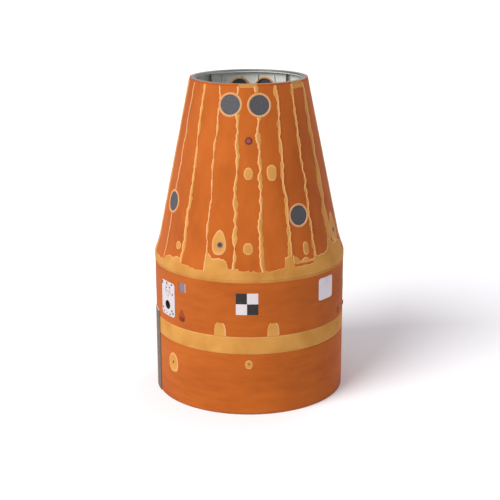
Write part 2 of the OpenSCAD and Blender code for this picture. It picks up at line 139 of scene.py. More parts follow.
def linear(hexColour):
    # sRGB hex to the linear values that shaders take
    parts = [int(hexColour[i:i + 2], 16) / 255 for i in (0, 2, 4)]
    return [p / 12.92 if p <= 0.04045 else ((p + 0.055) / 1.055) ** 2.4 for p in parts] + [1.0]


def wire(tree, node, inputs):
    # gives a node's sockets their values or their (node, output) links
    for key, value in inputs.items():
        if isinstance(value, tuple) and hasattr(value[0], "outputs"):
            tree.links.new(value[0].outputs[value[1]], node.inputs[key])
        else:
            node.inputs[key].default_value = value


def addNode(tree, kind, inputs=None, stops=(), **settings):
    # stops are a ramp's (place, colour or grey) pairs, settings the node's own properties
    node = tree.nodes.new("ShaderNode" + kind)
    for key, value in settings.items():
        setattr(node, key, value)
    wire(tree, node, inputs or {})
    if stops:
        elements = node.color_ramp.elements
        while len(elements) < len(stops):
            elements.new(0.5)
        for element, (place, colour) in zip(elements, stops):
            element.position = place
            element.color = linear(colour) if isinstance(colour, str) else [colour] * 3 + [1]
    return node


def makeLamp(name, strength, angle, azimuth, height, colour):
    data = bpy.data.lights.new(name, "SUN")
    data.energy = strength
    data.angle = math.radians(angle)
    data.color = linear(colour)[:3]
    lamp = bpy.data.objects.new(name, data)
    turn, rise = math.radians(azimuth), math.radians(height)
    towards = Vector((math.sin(turn) * math.cos(rise), -math.cos(turn) * math.cos(rise), math.sin(rise)))
    lamp.rotation_euler = towards.to_track_quat("Z", "Y").to_euler()
    bpy.context.scene.collection.objects.link(lamp)


def makeStudio(look):
    world = bpy.data.worlds.new("studio")
    bpy.context.scene.world = world
    world.use_nodes = True
    tree = world.node_tree
    light = tree.nodes["Background"]
    wire(tree, light, {"Color": linear(look["worldColour"]), "Strength": look["worldStrength"]})
    # the camera sees plain white paper, the object is lit by the world's own colour
    paper = addNode(tree, "Background", {"Color": linear("FFFFFF"), "Strength": 1.0})
    ray = addNode(tree, "LightPath")
    both = addNode(tree, "MixShader",
                   {0: (ray, "Is Camera Ray"), 1: (light, "Background"), 2: (paper, "Background")})
    wire(tree, tree.nodes["World Output"], {"Surface": (both, 0)})
    for lamp in look["lamps"]:
        makeLamp(*lamp)
    bm = bmesh.new()
    bmesh.ops.create_grid(bm, x_segments=1, y_segments=1, size=look["floorSize"] / 2)
    floor = finishMesh(bm, "floor", cadBox[0][2] - 0.001)
    tree, shader, at = newMaterial("paperSweep")  # matt white backdrop paper, with no gloss to it
    wire(tree, shader, {"Base Color": linear(look["floorColour"]), "Roughness": 0.95,
                        "Specular IOR Level": 0.1})
    setFinish(floor, "paperSweep")


def turnOutwards(bm):
    # recalculated normals can leave a thin pad or ring inside out, so the volume of each closed shell decides
    bmesh.ops.recalc_face_normals(bm, faces=bm.faces[:])
    waiting = set(bm.faces)
    while waiting:
        shell = [waiting.pop()]
        for face in shell:
            near = {other for edge in face.edges for other in edge.link_faces} & waiting
            waiting -= near
            shell.extend(near)
        middle = shell[0].verts[0].co.copy()
        volume = 0.0
        for face in shell:
            corners = [vert.co - middle for vert in face.verts]
            volume += sum(corners[0].dot(b.cross(c)) for b, c in zip(corners[1:], corners[2:]))
        if volume < 0:
            bmesh.ops.reverse_faces(bm, faces=shell)


def finishMesh(bm, name, lift=0.0, recalc=False):
    if recalc:
        turnOutwards(bm)
    if lift:
        bmesh.ops.translate(bm, verts=bm.verts[:], vec=(0, 0, lift))
    mesh = bpy.data.meshes.new(name)
    bm.to_mesh(mesh)
    bm.free()
    mesh.polygons.foreach_set("use_smooth", [True] * len(mesh.polygons))
    piece = bpy.data.objects.new(name, mesh)
    bpy.context.scene.collection.objects.link(piece)
    return piece


def newMaterial(name):
    # its node tree, its shader and the coordinates that its patterns hang on
    material = bpy.data.materials.new(name)
    material.use_nodes = True
    tree = material.node_tree
    return tree, tree.nodes["Principled BSDF"], (addNode(tree, "TexCoord"), "Object")


def setFinish(piece, finish):
    piece.data.materials.clear()
    piece.data.materials.append(bpy.data.materials[finish])


def addRelief(tree, shader, layers):
    # surface relief from coarse to fine: pattern, depth in metres, strength
    below = {}
    for pattern, depth, strength in layers:
        inputs = {"Height": (pattern, "Fac"), "Distance": depth, "Strength": strength}
        bump = addNode(tree, "Bump", {**inputs, **below})
        below = {"Normal": (bump, "Normal")}
    wire(tree, shader, below)


# patch, streak, grain and knit are the metres across of each layer of the skin's pattern
sprayFoam = dict(dark="91430C", mid="A65213", light="B35C1B", patch=2.4, streak=0.55, grain=0.045, knit=0.016,
                 stretch=(1, 1, 2.6))


def makeSprayFoam(name, look):
    # sprayed polyurethane foam: matt rind, broad tone patches where passes overlap, a pebbled orange-peel skin
    tree, shader, at = newMaterial(name)
    drawn = (addNode(tree, "Mapping", {"Vector": at, "Scale": [1 / s for s in look["stretch"]]}), "Vector")
    broad, streaks, grain, knit = [
        addNode(tree, "TexNoise", {"Vector": place, "Scale": 1 / look[size], "Detail": detail,
                                   "Roughness": rough})
        for place, size, detail, rough in ((drawn, "patch", 3.0, 0.5), (drawn, "streak", 3.0, 0.55),
                                           (at, "grain", 3.0, 0.5), (at, "knit", 2.0, 0.5))]
    tone = addNode(tree, "Mix", {0: 0.42, 6: (broad, "Fac"), 7: (streaks, "Fac")}, data_type="RGBA")
    tone = addNode(tree, "Mix", {0: 0.10, 6: (tone, 2), 7: (grain, "Fac")}, data_type="RGBA")
    colour = addNode(tree, "ValToRGB", {"Fac": (tone, 2)},
                     [(0.30, look["dark"]), (0.50, look["mid"]), (0.70, look["light"])])
    rough = addNode(tree, "ValToRGB", {"Fac": (grain, "Fac")}, [(0.2, 0.80), (0.8, 0.96)])
    wire(tree, shader, {"Base Color": (colour, "Color"), "Roughness": (rough, "Color"),
                        "Specular IOR Level": 0.22, "Sheen Weight": 0.10, "Sheen Roughness": 0.55,
                        "Sheen Tint": linear("E7A7A0")})
    addRelief(tree, shader, [(streaks, 0.020, 0.5), (grain, 0.010, 0.55), (knit, 0.003, 0.5)])


for name, changes in (
        ("sprayedConeFoam", {}),
        ("sprayedSkirtFoam", dict(dark="92440B", mid="A35012", light="AE5918", stretch=(1.8, 1.8, 0.5))),
        ("sprayedTankFoam", dict(dark="94450C", mid="A55211", light="B15B18", stretch=(2.2, 2.2, 0.5)))):
    makeSprayFoam(name, dict(sprayFoam, **changes))

# the last colour is the painted highlight along lit edges and rims
trimFoam = dict(dark="AC7430", mid="B8813C", light="C18B46", rim="D99F6C", patch=0.9, grain=0.035, pore=0.012)


def makeTrimFoam(name, look):
    # hand-poured closeout foam, cut back with a saw, with a finer grain than the rind; a painted highlight makes
    # its edges paler where light catches them
    tree, shader, at = newMaterial(name)
    broad, grain, pores = [addNode(tree, "TexNoise", {"Vector": at, "Scale": 1 / look[size], "Detail": detail})
                           for size, detail in (("patch", 4.0), ("grain", 3.0), ("pore", 2.0))]
    tone = addNode(tree, "Mix", {0: 0.25, 6: (broad, "Fac"), 7: (grain, "Fac")}, data_type="RGBA")
    body = addNode(tree, "ValToRGB", {"Fac": (tone, 2)},
                   [(0.32, look["dark"]), (0.50, look["mid"]), (0.68, look["light"])])
    # painted highlight: the layer's share mixes the pale highlight colour into the foam
    edge = addNode(tree, "Attribute", attribute_name="rim")
    colour = addNode(tree, "Mix", {0: (edge, "Fac"), 6: (body, "Color"), 7: linear(look["rim"])},
                     data_type="RGBA")
    wire(tree, shader, {"Base Color": (colour, 2), "Roughness": 0.88, "Specular IOR Level": 0.22})
    addRelief(tree, shader, [(broad, 0.015, 0.3), (grain, 0.008, 0.5), (pores, 0.003, 0.4)])


for name, changes in (("trimmedCloseoutFoam", {}),
                      ("bandFootFoam", dict(dark="A66B2B", mid="B17636", light="BA8040")),
                      # the vent rims' foam, with a duller painted highlight colour
                      ("mouldedVentRimFoam", dict(dark="A97543", mid="B4804C", light="BD8A55", rim="C79468"))):
    makeTrimFoam(name, dict(trimFoam, **changes))
print("materials for foam made")


def makeSurface(name, base, roughness, wear, wearSize, metallic=0.0, bumpSize=0.02, bumpDepth=0.001):
    # a painted, moulded or bare metal skin: faint tone drift, dirt gathered in patches and a fine texture
    tree, shader, at = newMaterial(name)
    drift, fine = [addNode(tree, "TexNoise", {"Vector": at, "Scale": 1 / metres, "Detail": detail})
                   for metres, detail in ((wearSize, 5.0), (bumpSize, 3.0))]
    dirt = addNode(tree, "ValToRGB", {"Fac": (drift, "Fac")}, [(0.50, 0.0), (0.78, 0.30)])
    colour = addNode(tree, "Mix", {0: (dirt, "Color"), 6: linear(base), 7: linear(wear)}, data_type="RGBA")
    rough = addNode(tree, "ValToRGB", {"Fac": (fine, "Fac")},
                    [(0.25, max(roughness - 0.08, 0.05)), (0.75, min(roughness + 0.10, 1.0))])
    wire(tree, shader, {"Base Color": (colour, 2), "Roughness": (rough, "Color"), "Metallic": metallic})
    if metallic < 0.5:  # a metal keeps the default
        wire(tree, shader, {"Specular IOR Level": 0.4})
    addRelief(tree, shader, [(fine, bumpDepth, 0.6)])


# the antenna panel's laminate: its middle, how far its edges are from it and how much stays clear of
# overspray, and the metres across of the overspray's tufts
radome = dict(azimuth=-43.1, middle=5.43, grey="6E6675", spray="9C5225", reach=0.21, clear=0.09,
              fuzz=0.09)


def makeRadome(name, look):
    # moulded grey laminate: an even satin grey, with a ragged drift of foam overspray along three edges
    tree, shader, at = newMaterial(name)
    turned = addNode(tree, "Mapping", {"Vector": at, "Rotation": (0.0, 0.0, -math.radians(look["azimuth"])),
                                       "Location": (0.0, 0.0, -look["middle"])})
    parts = addNode(tree, "SeparateXYZ", {"Vector": (turned, "Vector")})
    fuzz = addNode(tree, "TexNoise", {"Vector": at, "Scale": 1 / look["fuzz"], "Detail": 3.0})
    reach, clear = look["reach"], look["clear"]
    cover = []
    for side, operation, start, most, width in (("X", "ADD", reach, 1.0, reach - clear),
                                                ("Z", "SUBTRACT", reach + 0.02, 0.9, reach - clear),
                                                ("Z", "ADD", reach + 0.02, 0.9, 0.5 * clear)):
        inward = addNode(tree, "Math", {0: start, 1: (parts, side)}, operation=operation)
        fade = addNode(tree, "ValToRGB", {"Fac": (inward, 0)}, [(0.0, most), (width, 0.0)])
        fade.color_ramp.interpolation = "EASE"
        cover.append((fade, "Color"))
    most = addNode(tree, "Math", {0: cover[0], 1: cover[1]}, operation="MAXIMUM")
    most = addNode(tree, "Math", {0: (most, 0), 1: cover[2]}, operation="MAXIMUM")
    broken = addNode(tree, "Math", {0: (most, 0), 1: (fuzz, "Fac")}, operation="MULTIPLY", use_clamp=True)
    share = addNode(tree, "Math", {0: (broken, 0), 1: 1.9}, operation="MULTIPLY", use_clamp=True)
    colour = addNode(tree, "Mix", {0: (share, 0), 6: linear(look["grey"]), 7: linear(look["spray"])},
                     data_type="RGBA")
    wire(tree, shader, {"Base Color": (colour, 2), "Roughness": 0.60})
    addRelief(tree, shader, [(fuzz, 0.002, 0.5)])


# base colour, roughness, colour of the wear, metres across of its patches, what differs from paint,
# and the carried-over nodes that take the finish; the note says what it gives the eye
metal = dict(metallic=1.0)
finishes = {
    # clean sprayed white enamel with a low sheen in two copies, set apart by how light falls: the shaded hatch's
    # kept lighter as painted light, the lit plate's greyer as painted shade
    "hatchEnamelPaintedLight": ("CCC4C7", 0.45, "A0918E", 0.5, {}, ["access_hatch"]),
    "plateEnamelPaintedShade": ("BDB4B6", 0.50, "A4958C", 0.4, {}, ["umbilical_plate"]),
    # flat target paints that throw no glint
    "mattBlackPaint": ("241D1C", 0.75, "382F2D", 0.2, {}, ["target_black_squares"]),
    "mattWhitePaint": ("C5BDBE", 0.70, "ABA09F", 0.25, {}, ["target_white_squares"]),
    # cool dark grey with a fine pebble
    "darkVentEnamel": ("414044", 0.60, "5F5E64", 0.10, dict(bumpSize=0.012), ["vent_covers"]),
    # near black, a soft glint on turned edges
    "darkFittingPaint": ("2E2B2D", 0.55, "4A4544", 0.05, {}, []),
    "portBlackFinish": ("2A2629", 0.55, "3C383A", 0.05, {}, ["umbilical_port", "port_flapper"]),
    # pale warm grey primer, even and dull; painted light, kept pale so that the shaded inside reads as bright
    "paleEpoxyPrimer": ("D9DAD2", 0.60, "B9BBB0", 0.8, {}, [
        "adapter_aft_ring", "aft_cone", "mid_ring", "forward_cone", "forward_ring", "adapter_stringers",
        "adapter_ring_frames", "skirt_aft_ring", "skirt_shell", "skirt_stringers", "skirt_ring_frames",
        "skirt_forward_ring"]),
    # bare cut metal with broad soft reflections
    "milledAluminium": ("B9BBBD", 0.38, "8E8F90", 0.4, metal, [
        "tank_base_ring", "tank_barrel", "tank_ring_frames", "tank_y_ring", "tank_dome", "manhole_flange",
        "manhole_cover", "avionics_shelves", "cable_tray_brackets", "harness_clips", "separation_upper_ring"]),
    # darker, tighter glints on small hardware
    "passivatedSteel": ("8C8B8A", 0.35, "5E5D5C", 0.05, metal, [
        "manhole_bolts", "flange_bolts", "hatch_fasteners", "flapper_pin", "relief_spring"]),
    # dark grey oxide skin, still metallic at a glance
    "hardAnodisedAluminium": ("6A6C70", 0.42, "4A4B4E", 0.1, dict(metallic=0.9),
                              ["pusher_cylinders", "relief_valve_body"]),
    # mirror-smooth rods
    "groundChrome": ("C9CACC", 0.12, "A9AAAC", 0.1, metal, ["pusher_rods", "relief_poppet"]),
    # brown-grey primer stained by foam dust, and its straps where hands have scuffed it paler
    "weatheredTrayPrimer": ("645445", 0.75, "7A5A45", 0.35, {}, ["cable_tray_cover"]),
    "scuffedStrapPrimer": ("75665A", 0.65, "8A7A6C", 0.12, {}, []),
    "bareTrayCap": ("BFA597", 0.50, "8A7468", 0.1, dict(metallic=0.1), ["tray_end_fitting"]),
    # brown foam under a rough brushed coat, a darker ramp, and a painted shadow at the ramp's open foot
    "brownFoamCap": ("9A4A1C", 0.88, "6E3312", 0.08, dict(bumpDepth=0.004), ["skirt_fairings"]),
    "brownRampFoam": ("8C3A0B", 0.88, "742E07", 0.16, dict(bumpSize=0.04, bumpDepth=0.006), []),
    # painted shadow: near-black brown standing in for the shade in the knob's open foot
    "knobFootPaintedShadow": ("6A2600", 0.92, "823400", 0.05, {}, []),
    # open cells where a knife went through
    "cutPocketFoam": ("A5552A", 0.85, "A4551F", 0.10, dict(bumpSize=0.03, bumpDepth=0.004), ["antenna_pocket"]),
    # soft black and grey rubbers, and woven sleeve over the cables
    "siliconeSeal": ("232324", 0.70, "3A3A3B", 0.05, {}, ["hatch_gasket"]),
    "greyMouldedSeal": ("A6A0A0", 0.60, "857F7F", 0.05, {}, []),
    "cableBraid": ("2A2B2D", 0.65, "47484A", 0.03, dict(bumpSize=0.006), ["tray_cables", "harness_ring"]),
    # half-gloss charcoal on the boxes
    "enclosurePaint": ("3B3E42", 0.50, "55585C", 0.15, {}, ["avionics_boxes"]),
    # dull plated caps and shells, pale and dark
    "dullCouplingCap": ("C2BCBF", 0.50, "8A8585", 0.04, dict(metallic=0.3), ["fluid_couplings"]),
    "cadmiumConnectorShell": ("6A6668", 0.50, "8C8788", 0.05, dict(metallic=0.2), ["electrical_connectors"]),
    # pink-brown primer, and a pale edge colour that paints a highlight
    "agedPinkPrimer": ("9C6450", 0.65, "7E4A36", 0.08, {}, []),
    # painted highlight: pale pink-white standing in for light on the antenna pocket's far wall
    "pocketWallPaintedHighlight": ("D3B0A0", 0.60, "B58A78", 0.10, {}, []),
    # cast resins round and over the sensors: dusty pink, brick red and near black
    "paleSensorPotting": ("8C6656", 0.60, "7E5A50", 0.06, {}, []),
    "redSensorFace": ("8A4034", 0.55, "74332A", 0.05, {}, []),
    "redSensorPotting": ("5C211A", 0.55, "783830", 0.06, {}, []),
    "darkSensorPotting": ("3A1E1E", 0.55, "5C4440", 0.06, {}, []),
}
for finish, (base, roughness, wear, wearSize, others, nodes) in finishes.items():
    makeSurface(finish, base, roughness, wear, wearSize, **others)
    for node in nodes:
        setFinish(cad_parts[node], finish)
makeRadome("greyRadomeLaminate", radome)
setFinish(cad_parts["antenna_panel"], "greyRadomeLaminate")
setFinish(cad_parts["upper_closeout"], "sprayedConeFoam")
print("finishes on the carried-over nodes")

makeStudio(studio)


mergeReach = 1e-5  # points closer than this are one


def spinRound(bm, points, steps, start=(1, 0), closed=True, rim=None):
    # spins an outline of (radius, height) points about Z; with a highlight layer, each point also has its share of
    # painted highlight
    old = set(bm.verts)
    verts = [bm.verts.new((point[0] * start[0], point[0] * start[1], point[1])) for point in points]
    if rim is not None:
        for vert, point in zip(verts, points):
            vert[rim] = point[2]
    edges = [bm.edges.new(pair) for pair in zip(verts, verts[1:] + (verts[:1] if closed else []))]
    bmesh.ops.spin(bm, geom=verts + edges, cent=(0, 0, 0), axis=(0, 0, 1), angle=2 * math.pi, steps=steps,
                   use_merge=True)
    bmesh.ops.remove_doubles(bm, verts=[v for v in bm.verts if v not in old], dist=mergeReach)
    return [v for v in bm.verts if v not in old]


def spinOutline(points, steps):
    # a closed ring of its own, spun from the front
    bm = bmesh.new()
    spinRound(bm, points, steps, start=(0, -1))
    bmesh.ops.recalc_face_normals(bm, faces=bm.faces[:])
    return bm


def cutWith(piece, cutter):
    cut = piece.modifiers.new("cut", "BOOLEAN")
    cut.operation = "DIFFERENCE"
    cut.solver = "EXACT"
    cut.object = cutter
    bpy.context.view_layer.update()
    mesh = bpy.data.meshes.new_from_object(piece.evaluated_get(bpy.context.evaluated_depsgraph_get()))
    piece.modifiers.clear()
    piece.data = mesh
    bpy.data.objects.remove(cutter)
    mesh.polygons.foreach_set("use_smooth", [True] * len(mesh.polygons))
    mesh.set_sharp_from_angle(angle=math.radians(40))


def standOnFoam(azimuth, z):
    # matrix whose X runs right, Y up the surface and Z straight out of the foam
    tilt = coneTilt if z > jointZ else 0.0
    a = math.radians(azimuth)
    out = Vector((math.sin(a) * math.cos(tilt), -math.cos(a) * math.cos(tilt), math.sin(tilt)))
    right = Vector((math.cos(a), math.sin(a), 0))
    up = out.cross(right)
    matrix = Matrix((right, up, out)).transposed().to_4x4()
    matrix.translation = onFoam(azimuth, z)
    return matrix


def finishPiece(piece, finish, slotName, *replaced, body="stage"):
    setFinish(piece, finish)
    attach(piece, body)
    if replaced:
        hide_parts(*replaced)


def finishShape(bm, name, finish, slotName, *replaced, body="stage"):
    finishPiece(finishMesh(bm, name, recalc=True), finish, slotName, *replaced, body=body)


def newFoam():
    # an empty mesh with a layer for the share of painted highlight on lit edges, which the trimmed foam's colour
    # reads
    bm = bmesh.new()
    return bm, bm.verts.layers.float.new("rim")


def azimuthOf(co):
    return math.degrees(math.atan2(co.x, -co.y))


def onRing(azimuth, z, radius):
    a = math.radians(azimuth)
    return Vector((radius * math.sin(a), -radius * math.cos(a), z))


def weather(bm, size, depth, outerOf):
    # gentle hills left by the spray gun, only on points that outerOf accepts
    for vert in bm.verts:
        if outerOf(vert.co):
            hill = noise.noise(vert.co / size) + 0.5 * noise.noise(vert.co * 2.3 / size)
            vert.co += Vector((vert.co.x, vert.co.y, 0)).normalized() * hill * depth


# the cone's shell starts behind the joint band, the walls' shells run a little way under the bands
foamShells = dict(steps=360, coneRows=96, wallRows=28, bondDepth=0.049, hillSize=0.9, hillDepth=0.0016,
                  coneStart=0.36, underBand=0.02, floorGap=0.021)


def makeFoamShells(look):
    depth = look["bondDepth"]
    lowZ = jointZ + look["coneStart"]
    rows = look["coneRows"]
    outer = [lowZ + (coneTopZ - lowZ) * i / rows for i in range(rows + 1)]
    straight = lambda z: foamRadius - coneSlope * (z - jointZ)
    outline = [(foamSurface(z), z) for z in outer]
    outline += [(straight(z) - depth, z) for z in (coneTopZ, (coneTopZ + lowZ) / 2, lowZ)]
    bm = spinOutline(outline, look["steps"])
    weather(bm, look["hillSize"], look["hillDepth"],
            lambda co: math.hypot(co.x, co.y) > straight(co.z) - 0.01)
    cone = finishMesh(bm, "coneFoam")
    cutWith(cone, ventCutter(ventLook))
    finishPiece(cone, "sprayedConeFoam", "sprayed_foam", "adapter_foam")
    rows = look["wallRows"]
    for name, node, low, high, finish in (
            ("skirtFoam", "skirt_foam", skirtFoamLowZ - look["underBand"], skirtFoamTopZ, "sprayedSkirtFoam"),
            ("tankFoam", "tank_foam", cadBox[0][2] + look["floorGap"], tankFoamTopZ + look["underBand"],
             "sprayedTankFoam")):
        outline = [(foamRadius, low + (high - low) * i / rows) for i in range(rows + 1)]
        outline += [(foamRadius - depth, high), (foamRadius - depth, low)]
        bm = spinOutline(outline, look["steps"])
        weather(bm, look["hillSize"], look["hillDepth"],
                lambda co: math.hypot(co.x, co.y) > foamRadius - 0.01)
        shell = finishMesh(bm, name)
        if name == "skirtFoam":
            for cutter in skirtCutters():
                cutWith(shell, cutter)
        finishPiece(shell, finish, "sprayed_foam", node)


ventLook = dict(places=[(-16.4, 13.235), (9.3, 13.22), (-64.2, 8.89), (34.7, 8.60)], rimRadius=0.512,
                bore=0.418, ringSteps=72, proud=0.016, depth=0.075, cutInset=0.03, seamGap=0.02)
ventPlaces = [(a + turn, z) for turn in (0, 180) for a, z in ventLook["places"]]


def addRoundCutter(bm, azimuth, z, radius, depth=0.4):
    made = bmesh.ops.create_cone(bm, cap_ends=True, segments=72, radius1=radius, radius2=radius, depth=depth)
    bmesh.ops.transform(bm, matrix=standOnFoam(azimuth, z), verts=made["verts"])


def ventCutter(look):
    bm = bmesh.new()
    for azimuth, z in ventPlaces:
        addRoundCutter(bm, azimuth, z, look["rimRadius"] - look["cutInset"])
    return finishMesh(bm, "ventCutter")


hatchPlace = dict(azimuth=51.4, z=5.26, size=(1.012, 1.012), corner=0.126)
pocketPlace = dict(azimuth=-43.1, z=5.43, size=(0.422, 0.462), corner=0.02)
portPlace = dict(azimuth=-57.1, z=4.40, radius=0.204)


def roundedPrism(name, place, depth=0.4):
    # a square cutter with round corners, standing straight through the wall
    bm = bmesh.new()
    made = bmesh.ops.create_cube(bm, size=1.0)
    bmesh.ops.scale(bm, vec=(place["size"][0], place["size"][1], depth), verts=made["verts"])
    corners = [e for e in bm.edges if abs(e.verts[0].co.z - e.verts[1].co.z) > 0.1]
    bmesh.ops.bevel(bm, geom=corners, offset=place["corner"], segments=8, affect="EDGES", profile=0.5,
                    material=-1)
    bmesh.ops.transform(bm, matrix=standOnFoam(place["azimuth"], place["z"]), verts=bm.verts[:])
    return finishMesh(bm, name)


def portCutter(name, depth=0.4):
    bm = bmesh.new()
    addRoundCutter(bm, portPlace["azimuth"], portPlace["z"], portPlace["radius"], depth)
    return finishMesh(bm, name)


def skirtCutters():
    return [roundedPrism("hatchCutter", hatchPlace), roundedPrism("pocketCutter", pocketPlace),
            portCutter("portCutter")]


def makeVentRims(look):
    rimRadius, bore, proud, depth = look["rimRadius"], look["bore"], look["proud"], look["depth"]
    # outline of the rim: radius from the vent's centre, lift off the foam, share of painted highlight
    outline = [(rimRadius + 0.004, -0.012, 1.0), (rimRadius - 0.002, 0.006, 1.0),
               (rimRadius - 0.018, proud, 0.8), (rimRadius - 0.040, proud + 0.002, 0.5),
               (bore + 0.022, proud, 0.8), (bore + 0.006, 0.006, 1.0), (bore, -0.012, 1.0),
               (bore, -depth, 1.0), (rimRadius + 0.004, -depth, 1.0)]
    bm, rim = newFoam()
    for number, (azimuth, z) in enumerate(ventPlaces):
        for vert in spinRound(bm, outline, look["ringSteps"], rim=rim):
            x, y, lift = vert.co
            if math.hypot(x, y) > bore + 0.03:
                wobble = 1 + 0.010 * wander(math.atan2(y, x) * 4, number + 3)
                x, y = x * wobble, y * wobble
            vert.co = onFoam(azimuth, z + y * math.cos(coneTilt), x, lift)
    finishShape(bm, "ventRims", "mouldedVentRimFoam", "closeout_foam", "vent_frames")


makeFoamShells(foamShells)
makeVentRims(ventLook)
print("foam shells and vent rims")

seamLook = dict(sides=14, rowLength=0.040, lift=0.015, crest=0.022, paleWidth=0.058, foot=0.008, topGap=0.01,
                intoBand=0.05, leastHalf=0.024, nick=0.018)
# azimuth, typical width, side of the painted highlight along the lit edge (-1 left, 1 right), extra width at the
# foot
seams = [(-62.6, 0.050, -1, 0.0), (-44.6, 0.125, -1, 0.04), (-27.0, 0.080, -1, 0.0), (-9.1, 0.135, -1, 0.03),
         (7.8, 0.155, -1, 0.03), (25.3, 0.120, 1, 0.06), (43.4, 0.105, 1, 0.02), (60.9, 0.160, 1, 0.20)]
seams += [(60.9 + (i + 1) * 236.5 / 13, 0.09 + 0.05 * (i % 3), 1 if i < 6 else -1, 0.03 * (i % 2))
          for i in range(12)]


def seamSpans(azimuth, lowZ, highZ):
    # the stretches of a seam that no vent interrupts
    spans = [(lowZ, highZ)]
    for ventAzimuth, ventZ in ventPlaces:
        apart = (azimuth - ventAzimuth + 180) % 360 - 180
        sideways = abs(math.radians(apart)) * foamSurface(ventZ)
        reach = ventLook["rimRadius"] + ventLook["seamGap"]
        if sideways < reach:
            half = math.sqrt(reach ** 2 - sideways ** 2) - 0.03
            spans = [piece for low, high in spans for piece in ((low, min(high, ventZ - half)),
                                                                (max(low, ventZ + half), high))
                     if piece[1] - piece[0] > 0.1]
    return spans


def makeSeams(look):
    whole = bmesh.new()
    for number, seam in enumerate(seams):
        footZ = jointZ + lineValue(jointTop, seam[0]) - look["intoBand"]
        for lowZ, highZ in seamSpans(seam[0], footZ, coneTopZ - look["topGap"]):
            bm, rim = newFoam()
            bmesh.ops.create_cone(bm, cap_ends=True, segments=look["sides"], radius1=1, radius2=1, depth=1)
            long = [e for e in bm.edges if abs(e.verts[0].co.z - e.verts[1].co.z) > 0.5]
            bmesh.ops.subdivide_edges(bm, edges=long, cuts=max(3, int((highZ - lowZ) / look["rowLength"])))
            for vert in bm.verts:
                placeSeamPoint(vert, rim, look, number, lowZ, highZ)
            addTo(whole, bm)
    finishShape(whole, "seamRidges", "trimmedCloseoutFoam", "seam_foam", "seam_ridges")


def addTo(whole, bm):
    # adds one small mesh to a bigger one and lets go of it
    part = bpy.data.meshes.new("part")
    bm.to_mesh(part)
    bm.free()
    whole.from_mesh(part)
    bpy.data.meshes.remove(part)


def placeSeamPoint(vert, rim, look, number, lowZ, highZ):
    # turns a point of the unit rod into one of the ridge, a wandering line with nicked edges
    azimuth, width, paleSide, footWidth = seams[number]
    across, height = vert.co.x, vert.co.y
    z = lowZ + (highZ - lowZ) * (vert.co.z + 0.5)
    half = 0.5 * width * (1 + 0.95 * wander(z, number + 1, 0.42) + 0.65 * wander(z, number + 31, 0.19))
    half += 0.5 * footWidth * curveValue([(0.5, 1.0), (3.2, 0.7), (5.2, 0.0)], z - jointZ)
    middle = 0.080 * wander(z, number + 61, 0.75) + 0.036 * wander(z, number + 91, 0.24)
    half = max(half, look["leastHalf"])
    left = middle - half + look["nick"] * wander(z, number + 121, 0.09)
    right = middle + half + look["nick"] * wander(z, number + 151, 0.08)
    place = left + (right - left) * (across + 1) / 2
    fromPale = (1 - across * paleSide) * half
    crest = look["crest"] * math.exp(-((fromPale - 0.55 * look["paleWidth"]) / (0.45 * look["paleWidth"])) ** 2)
    if height > 0:
        lift = (look["lift"] + crest) * min(1.0, height * 1.7) - look["foot"] * (1 - height)
    else:
        lift = -look["foot"]
    # painted highlight along the seam's lit edge
    vert[rim] = max(0.0, min(1.0, 1.6 - fromPale / look["paleWidth"]))
    vert.co = onFoam(azimuth, z, place, lift)


# the joint band: its splices are in degrees, the other values in metres or shares of the rising face
jointBand = dict(steps=1440, risingRows=14, overlay=0.013, splices=[15.0, -75.0, 105.0, -165.0], spliceHalf=0.14,
                 spliceDepth=0.008, sawDepth=0.036, bond=0.045, fadeIn=0.05, curlFrom=0.86, paleFrom=0.80,
                 lipDrop=0.012, footTop=0.130)
# face of the joint band: height over the joint, radius past the foam wall
jointFace = [(0.002, -0.006), (0.010, 0.001), (0.040, 0.005), (0.112, 0.006), (0.122, -0.004), (0.134, -0.002),
             (0.142, 0.010), (0.170, 0.013), (0.300, 0.013), (0.385, 0.009)]
# upper edge of the joint band: azimuth, height over the joint
jointTop = [(-180, 0.52), (-166, 0.55), (-164, 0.80), (-155, 0.84), (-152, 0.55), (-130, 0.50), (-128, 0.92),
            (-118, 0.98), (-115, 0.54), (-98, 0.52), (-90, 0.60), (-76, 0.46), (-63.6, 0.43), (-61.4, 0.48),
            (-60.4, 0.62), (-57, 0.72), (-52.5, 0.69), (-48.4, 0.79), (-45.4, 0.72), (-43.9, 0.53), (-38.3, 0.52),
            (-33.8, 0.45), (-26.9, 0.43), (-26.4, 0.90), (-25.7, 1.18), (-24.2, 1.10), (-22.9, 0.99),
            (-18.9, 1.02), (-15.6, 0.97), (-14.0, 0.90), (-13.0, 0.78), (-12.2, 0.60), (-10.0, 0.59), (-6.5, 0.62),
            (-5.6, 0.52), (-2.6, 0.52), (-0.4, 0.56), (1.0, 0.48), (2.5, 0.55), (4.7, 0.49), (6.4, 0.47),
            (9.2, 0.56), (10.7, 0.50), (15.2, 0.53), (20.6, 0.57), (21.3, 0.66), (21.7, 1.00), (24.2, 1.04),
            (26.6, 1.00), (27.4, 0.56), (41.0, 0.59), (42.0, 0.74), (43.3, 0.88), (46.6, 0.84), (50.4, 0.86),
            (54.9, 0.93), (57.2, 1.06), (58.6, 1.34), (62.0, 1.38), (64.0, 1.10), (74, 1.10), (78, 0.98),
            (80, 0.60), (98, 0.54), (104, 0.50), (106, 0.86), (114, 0.92), (117, 0.55), (146, 0.52), (150, 0.76),
            (158, 0.80), (160, 0.50), (180, 0.52)]


def lineValue(points, x):
    # straight lines between neighbouring points
    for (x0, y0), (x1, y1) in zip(points, points[1:]):
        if x <= x1:
            return y0 + (y1 - y0) * (x - x0) / (x1 - x0)
    return points[-1][1]


